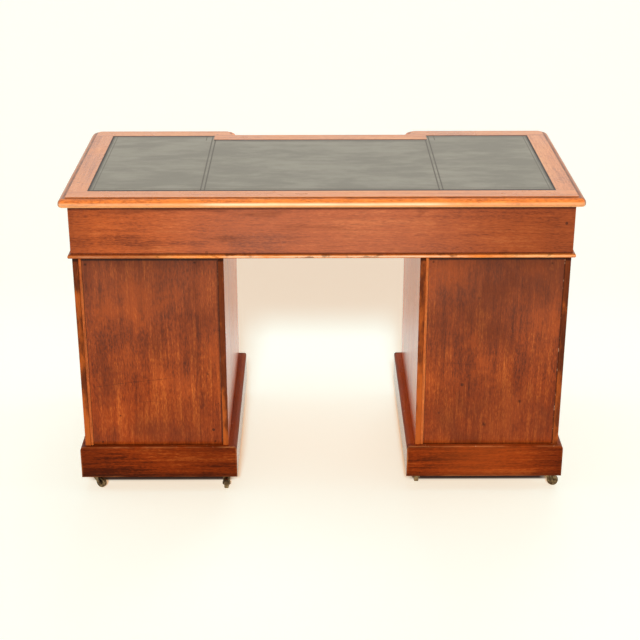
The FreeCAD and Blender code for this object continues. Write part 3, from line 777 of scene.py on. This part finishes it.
def dress_plinth(side, offset):
    """A plinth of four boards, knocked about by feet: chips along its top, painted light on its inner
    boards, and grime with painted shade near the floor.
    """
    node = side + "_plinth"
    low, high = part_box(node)
    material, tree, shader, place = new_material(node + "_mahogany")
    x, y, z = tree.parts(place)
    across = tree.size(x)
    long_boards = grain(tree, place, ALONG_X, PLINTH_TONES, 1.1, offset)
    fresh = (offset[0], offset[1] + 0.5, offset[2])
    side_boards = grain(tree, place, ALONG_Y, PLINTH_TONES, 1.1, fresh)
    is_side = tree.between(y, low.y + PLINTH_BOARD, high.y - PLINTH_BOARD, SOFT)
    wood = choose_grain(tree, is_side, long_boards, side_boards)
    colour, rub = worn(tree, place, wood["Color"], low, high, 6 * MM, PLINTH_RUB)
    chips = tree.remap(tree.streaks(place, (70.0, 70.0, 50.0), 4.0, 0.7), 0.64, 0.72)
    chips = tree.times(chips, tree.near(z, high.z, 4 * MM))
    colour = tree.mix(chips, colour, PLINTH_CHIP)
    scuffs = tree.remap(tree.streaks(place, (22.0, 22.0, 70.0), 4.0, 0.7), 0.62, 0.74)
    colour = tree.mix(tree.times(scuffs, 0.4), colour, GRIME_AND_SHADE)
    colour = tree.mix(tree.remap(across, 0.5, 0.6, 0.0, 0.4), colour, PLINTH_OUTER)
    # Painted light: a brighter orange on the inner boards by the kneehole, where the key lamp grazes them
    ledge = tree.times(tree.remap(across, 0.262, 0.24, 0.0, 0.45), is_side)
    colour = tree.mix(ledge, colour, PLINTH_LEDGE_LIGHT)
    at, reach, strength, tint = PLINTH_CAST[side]
    colour = tree.mix(tree.times(tree.near(x, at, reach), strength), colour, tint)
    # Darker towards the floor: painted shade under the plinth, with some grime
    foot = tree.times(tree.remap(z, low.z + 20 * MM, low.z), 0.45)
    colour = tree.mix(foot, colour, GRIME_AND_SHADE)
    polish(tree, shader, place, colour, wood, (0.34, 0.5), tree.most(rub, scuffs), PLINTH_SHINE)
    upright = tree.below(z, high.z - 12 * MM, 2 * MM)
    flanks = tree.between(y, low.y + 1 * MM, high.y - 1 * MM, SOFT)
    join(tree, tree.times(upright, flanks), shader, "Coat Weight")
    shader.inputs["Coat Roughness"].default_value = CLOUDY_COAT
    dress(node, material)


def dress_pedestals():
    """Both pedestals: sides, back panel and its bead, shelves, pegs and plinth."""
    for side, (joint, offset) in PEDESTALS.items():
        dress_side(side + "_outer_side", offset)
        dress_side(side + "_inner_side", offset)
        dress_panel(side, joint, offset)
        bead = side + "_panel_bead"
        dress(bead, board_material(
            bead + "_mahogany", bead, ALONG_Z, STRIP_TONES, (0.24, 0.38), 0.8, offset, 2 * MM))
        dress(side + "_shelves", edged_board(side + "_shelves", ALONG_X))
        dress(side + "_pegs", edged_board(side + "_pegs", ALONG_Z))
        dress_plinth(side, offset)


DRAWERS = ["drawer_center"] + [
    "drawer_" + side + "_" + place for side in SIDES for place in ("frieze", "upper", "middle", "lower")]
FRONT_BOARD = 18 * MM
COCK_BEAD = 2 * MM
BEAD_WIDTH = 3.5 * MM
DRAWER_WALL = 10 * MM

# How far in from each end of a front its knobs stand, as a share of its length
KNOB_SHARE = 0.27

# The dovetails at a front's ends: how far apart, how far in, how much they flare, and half a pin's width
TAIL_PITCH = 26 * MM
TAIL_DEPTH = 12 * MM
TAIL_FLARE = 0.25
HALF_PIN = 4 * MM


def dress_drawer_front(drawer, offset):
    """A drawer front with grain along it, a cock bead, darker turned knobs, and lapped dovetails."""
    node = drawer + "_front"
    low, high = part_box(node)
    face = low.y + FRONT_BOARD
    material, tree, shader, place = new_material(node + "_mahogany")
    x, y, z = tree.parts(place)
    wood = grain(tree, place, ALONG_X, DRAWER_TONES, 1.1, offset)
    rim = Vector((high.x, face + COCK_BEAD, high.z))
    colour, rub = worn(tree, place, wood["Color"], low, rim, 4 * MM, DRAWER_TONES[2])

    # The cock bead round the front, with painted shade in the quirk inside it and in the gap outside it
    middle = (low.x + high.x) / 2
    centre = (low.z + high.z) / 2
    half = (high.x - low.x) / 2
    off_middle = tree.size(tree.minus(x, middle))
    off_centre = tree.size(tree.minus(z, centre))
    from_end = tree.scaled(off_middle, -1.0, half)
    from_edge = tree.least(from_end, tree.scaled(off_centre, -1.0, centre - low.z))
    bead = tree.below(from_edge, BEAD_WIDTH, 0.2 * MM)
    colour = tree.mix(tree.times(bead, 0.45), colour, COCK_BEAD_TONE)
    quirk = tree.near(from_edge, BEAD_WIDTH + 0.5 * MM, 1.3 * MM)
    gap = tree.below(from_edge, 0.5 * MM, 0.4 * MM)
    colour = tree.mix(tree.times(tree.most(quirk, gap), 0.8), colour, GRIME_AND_SHADE)

    # The knobs and the handled wood round them
    knob_x = (1 - 2 * KNOB_SHARE) * half
    away = tree.math("SQRT", tree.square_sum(tree.minus(off_middle, knob_x), off_centre))
    handled = tree.times(tree.remap(away, 30 * MM, 12 * MM), 0.6)
    colour = tree.mix(handled, colour, KNOB_HALO)
    turned = grain(tree, place, ALONG_Y, KNOB_TONES, 0.8, offset)
    knob = tree.over(y, face + COCK_BEAD + 0.4 * MM, 0.2 * MM)
    colour = tree.mix(knob, colour, turned["Color"])

    # The drawer sides' tails, lapped into the ends of the front
    at_end = tree.below(from_end, 0.3 * MM, FINE)
    height = high.z - low.z
    pitch = height / max(2, round(height / TAIL_PITCH))
    wave = tree.math("PINGPONG", tree.minus(z, low.z), pitch / 2)
    depth = tree.minus(y, low.y)
    flare = tree.scaled(depth, -TAIL_FLARE, tree.minus(wave, HALF_PIN))
    lapped = tree.remap(depth, TAIL_DEPTH + 0.2 * MM, TAIL_DEPTH - 0.2 * MM)
    tail = tree.times(tree.over(flare, 0.0, HAIR), lapped)
    lining = grain(tree, place, ALONG_Y, LINING_TONES, 0.9, offset)
    colour = tree.mix(tree.times(tail, at_end), colour, lining["Color"])
    polish(tree, shader, place, colour, wood, (0.24, 0.4), rub)
    dress(node, material)


def dress_drawer_box(drawer, offset):
    """Oak drawer linings, left bare: sides with grain along them, bottom and back across."""
    node = drawer + "_box"
    low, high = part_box(node)
    material, tree, shader, place = new_material(node + "_oak")
    x, y, z = tree.parts(place)
    middle = (low.x + high.x) / 2
    half = (high.x - low.x) / 2
    is_side = tree.over(tree.size(tree.minus(x, middle)), half - DRAWER_WALL, FINE)
    across = grain(tree, place, ALONG_X, LINING_TONES, 0.9, offset)
    along = grain(tree, place, ALONG_Y, LINING_TONES, 0.9, offset)
    wood = choose_grain(tree, is_side, across, along)
    handled = tree.times(tree.remap(z, high.z - 9 * MM, high.z), 0.35)
    colour = tree.mix(handled, wood["Color"], LINING_RIM)
    dust = tree.remap(tree.noise(place, 13.0, 4.0, 0.65), 0.45, 0.75, 0.0, 0.22)
    colour = tree.mix(dust, colour, LINING_DUST)
    polish(tree, shader, place, colour, wood, (0.52, 0.68), shine=NO_SHINE)
    dress(node, material)


def dress_drawers():
    """Each drawer's front and box, from a stretch of figure of their own."""
    for number, drawer in enumerate(DRAWERS):
        fresh = (0.37 * number, 0.21 * number, 0.13 * number)
        dress_drawer_front(drawer, fresh)
        dress_drawer_box(drawer, fresh)


def brass_material(name):
    """Old brass, not quite metal where it is dirty."""
    material, tree, shader, place = new_material(name)
    brass = use_group(tree, BRASS, {"Vector": place})
    join(tree, brass["Color"], shader, "Base Color")
    join(tree, brass["Rough"], shader, "Roughness")
    join(tree, tree.rest(tree.times(brass["Dirt"], 0.6)), shader, "Metallic")
    join(tree, tree.bump(brass["Dirt"], 0.2, 0.3 * MM), shader, "Normal")
    return material


def keyhole_shade_material():
    """A dark sheet painted as the shade inside a keyhole, with a little dust."""
    material, tree, shader, place = new_material("keyhole_shade")
    dust = tree.remap(tree.noise(place, 420.0, 3.0), 0.4, 0.7)
    join(tree, tree.mix(dust, KEYHOLE_SHADE, KEYHOLE_DUST), shader, "Base Color")
    shader.inputs["Roughness"].default_value = 0.85
    return material


# A keyhole plate: a round head with a skirt drawn down from it, and a keyhole sunk inside its rim and
# painted dark as its shade
PLATE_RISE = 1.2 * MM
PLATE_DROP = 36 * MM
HEAD_RADIUS = 8.5 * MM
HEAD_SEGMENTS = 32
SKIRT_START = 5 * MM
SKIRT_LENGTH = 9 * MM
PLATE_RIM = 4.4 * MM
KEYHOLE_DEPTH = 1.0 * MM
PLATE_ROUND = 0.4 * MM


def fit_escutcheon(drawer, brass, hole):
    """A brass keyhole plate on a drawer front: a raised rim round a sunk keyhole painted dark as shade."""
    low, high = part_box(drawer + "_front")
    at = Vector(((low.x + high.x) / 2, low.y + FRONT_BOARD + PLATE_RISE, high.z - PLATE_DROP))
    facing = Matrix.Translation(at) @ Matrix.Rotation(math.radians(-90), 4, "X")
    shape = bmesh.new()
    bmesh.ops.create_circle(
        shape, cap_ends=True, segments=HEAD_SEGMENTS, radius=HEAD_RADIUS, matrix=facing)
    skirt = [corner for corner in shape.verts if corner.co.z < at.z - SKIRT_START]
    bmesh.ops.translate(shape, verts=skirt, vec=(0.0, 0.0, -SKIRT_LENGTH))
    bmesh.ops.inset_region(
        shape, faces=list(shape.faces), thickness=PLATE_RIM, use_boundary=True, use_even_offset=True)
    inner = max(shape.faces, key=lambda face: len(face.verts))
    sunk = bmesh.ops.extrude_discrete_faces(shape, faces=[inner])["faces"]
    bmesh.ops.translate(shape, verts=list(sunk[0].verts), vec=(0.0, -KEYHOLE_DEPTH, 0.0))
    sunk[0].material_index = 1
    outline = [edge for edge in shape.edges if edge.is_boundary]
    wall = bmesh.ops.extrude_edge_only(shape, edges=outline)["geom"]
    wall_foot = [corner for corner in wall if isinstance(corner, bmesh.types.BMVert)]
    bmesh.ops.translate(shape, verts=wall_foot, vec=(0.0, -PLATE_RISE, 0.0))
    bmesh.ops.bevel(
        shape, geom=outline, offset=PLATE_ROUND, segments=2, profile=0.5, affect="EDGES", material=-1)
    bmesh.ops.recalc_face_normals(shape, faces=list(shape.faces))
    mesh = bpy.data.meshes.new(drawer + "_escutcheon")
    shape.to_mesh(mesh)
    shape.free()
    mesh.materials.append(brass)
    mesh.materials.append(hole)
    plate = bpy.data.objects.new(drawer + "_escutcheon", mesh)
    bpy.context.collection.objects.link(plate)
    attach(plate, drawer)


def fit_escutcheons():
    """A keyhole plate on every drawer."""
    brass = brass_material("escutcheon_brass")
    hole = keyhole_shade_material()
    for drawer in DRAWERS:
        fit_escutcheon(drawer, brass, hole)


def dress_castors():
    """All eight castors in one old brass."""
    brass = brass_material("castor_brass")
    for side in SIDES:
        dress(side + "_castor_plates", brass)
        for end in ("back", "front"):
            for flank in ("outer", "inner"):
                for piece in ("fork", "wheel"):
                    dress("_".join(("castor", side, end, flank, piece)), brass)


def seen_ray(tree):
    """One for rays that show a surface to the camera, straight or by way of gloss or glass."""
    paths = tree.node("ShaderNodeLightPath", {})
    seen = tree.most(paths["Is Camera Ray"], paths["Is Glossy Ray"])
    return tree.most(seen, paths["Is Transmission Ray"])


# The floor as it lights the desk, and as the camera sees it: lit, lifted near the desk, with painted shade
# far behind it and a painted shadow under the plinths
FLOOR_TONE = srgb(222, 214, 204)
FLOOR_SPECK = srgb(218, 210, 199)
FLOOR_LIT = srgb(170, 235, 255)
FLOOR_LIFT = srgb(255, 195, 139)
FLOOR_FAR_SHADE = srgb(250, 179, 110)
FLOOR_PAINTED_SHADOW = srgb(60, 18, 2)
FLOOR_GLOW = 0.68
FLOOR_SIZE = 30.0

# The painted shadow under the plinths: how far in from their edges it starts, and how softly
SHADOW_INSET_SIDE = 22 * MM
SHADOW_INSET_END = 64 * MM
SHADOW_SOFTNESS = 6 * MM


def make_floor():
    """A broad cream floor that fills the picture and keeps the desk's shadow, with a painted shadow under
    the plinths and painted shade far behind the desk.
    """
    mesh = bpy.data.meshes.new("floor")
    shape = bmesh.new()
    bmesh.ops.create_grid(shape, x_segments=1, y_segments=1, size=FLOOR_SIZE)
    shape.to_mesh(mesh)
    shape.free()
    floor = bpy.data.objects.new("floor", mesh)
    bpy.context.collection.objects.link(floor)
    material, tree, shader, place = new_material("cream_floor")
    seen = seen_ray(tree)
    x, y, z = tree.parts(place)
    low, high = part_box("right_plinth")
    # A painted shadow under the plinths: a darker seen colour and almost no glow there
    under = tree.between(tree.size(x), low.x + SHADOW_INSET_SIDE, high.x - SHADOW_INSET_SIDE, SHADOW_INSET_SIDE)
    under = tree.times(under, tree.between(y, low.y + SHADOW_INSET_END, high.y - SHADOW_INSET_END, SHADOW_SOFTNESS))
    plain = tree.mix(tree.remap(tree.noise(place, 60.0, 3.0), 0.3, 0.7), FLOOR_TONE, FLOOR_SPECK)
    shown = tree.mix(tree.times(under, 0.96), FLOOR_LIT, FLOOR_PAINTED_SHADOW)
    join(tree, tree.mix(seen, plain, shown), shader, "Base Color")
    # Painted shade: the floor's glow turns darker and warmer far behind the desk
    lift = tree.mix(tree.remap(y, 0.45, 1.3), FLOOR_LIFT, FLOOR_FAR_SHADE)
    join(tree, lift, shader, "Emission Color")
    glow = tree.scaled(under, -0.98 * FLOOR_GLOW, FLOOR_GLOW)
    join(tree, tree.times(seen, glow), shader, "Emission Strength")
    shader.inputs["Roughness"].default_value = 0.9
    shader.inputs["Specular IOR Level"].default_value = 0.1
    mesh.materials.append(material)


# Each lamp's strength at a facing surface, its width in degrees and where it shines from
LAMPS = {
    "key_lamp": (0.85, 7.0, (-0.02, -1.0, 0.573)),
    "top_lamp": (0.1, 50.0, (0.0, 0.1, 1.0)),
    "left_lamp": (0.22, 50.0, (-1.0, 0.1, 0.22)),
    "right_lamp": (0.22, 50.0, (1.0, 0.1, 0.22)),
    "drawer_lamp": (0.3, 40.0, (0.2, 1.0, 0.24)),
}
LAMP_COLOUR = srgb(255, 251, 244)
LAMP_DISTANCE = 4.0

# The surround's colour, and its strength as light; it looks full strength
WORLD_COLOUR = srgb(255, 252, 245)
WORLD_LIGHT = 0.2


def hang_lamp(name, strength, width, source):
    """A far lamp that gloss doesn't mirror."""
    lamp = bpy.data.lights.new(name, "SUN")
    lamp.energy = strength * math.pi
    lamp.angle = math.radians(width)
    lamp.color = LAMP_COLOUR[:3]
    holder = bpy.data.objects.new(name, lamp)
    holder.location = Vector(source) * LAMP_DISTANCE
    holder.rotation_euler = Vector(source).to_track_quat("Z", "Y").to_euler()
    holder.visible_glossy = False
    bpy.context.collection.objects.link(holder)


def light_studio():
    """A key lamp over the camera, weak broad lamps from the other sides, and an even warm surround."""
    for name, lamp in LAMPS.items():
        hang_lamp(name, *lamp)
    world = bpy.data.worlds.new("studio")
    world.use_nodes = True
    tree = Tree(world.node_tree)
    surround = world.node_tree.nodes["Background"]
    surround.inputs["Color"].default_value = WORLD_COLOUR
    join(tree, tree.blend(seen_ray(tree), WORLD_LIGHT, 1.0), surround, "Strength")
    bpy.context.scene.world = world


# The camera's lens and sensor in millimetres, its place, and its turns in degrees
LENS = 78.649
SENSOR = 36.0
CAMERA_PLACE = (-0.02694, -3.38311, 1.78394)
CAMERA_DIP = 22.96
CAMERA_SWING = -0.41


def place_camera():
    """The photograph's view of the plain back, from a little above."""
    lens = bpy.data.cameras.new("view")
    lens.sensor_width = SENSOR
    lens.lens = LENS
    camera = bpy.data.objects.new("view", lens)
    camera.location = CAMERA_PLACE
    camera.rotation_euler = (math.radians(90 - CAMERA_DIP), 0.0, math.radians(CAMERA_SWING))
    bpy.context.collection.objects.link(camera)
    bpy.context.scene.camera = camera


dress_top()
dress_leathers()
dress_frieze()
dress_pedestals()
dress_drawers()
fit_escutcheons()
dress_castors()
make_floor()
light_studio()
place_camera()
bpy.context.scene.view_settings.view_transform = "Standard"
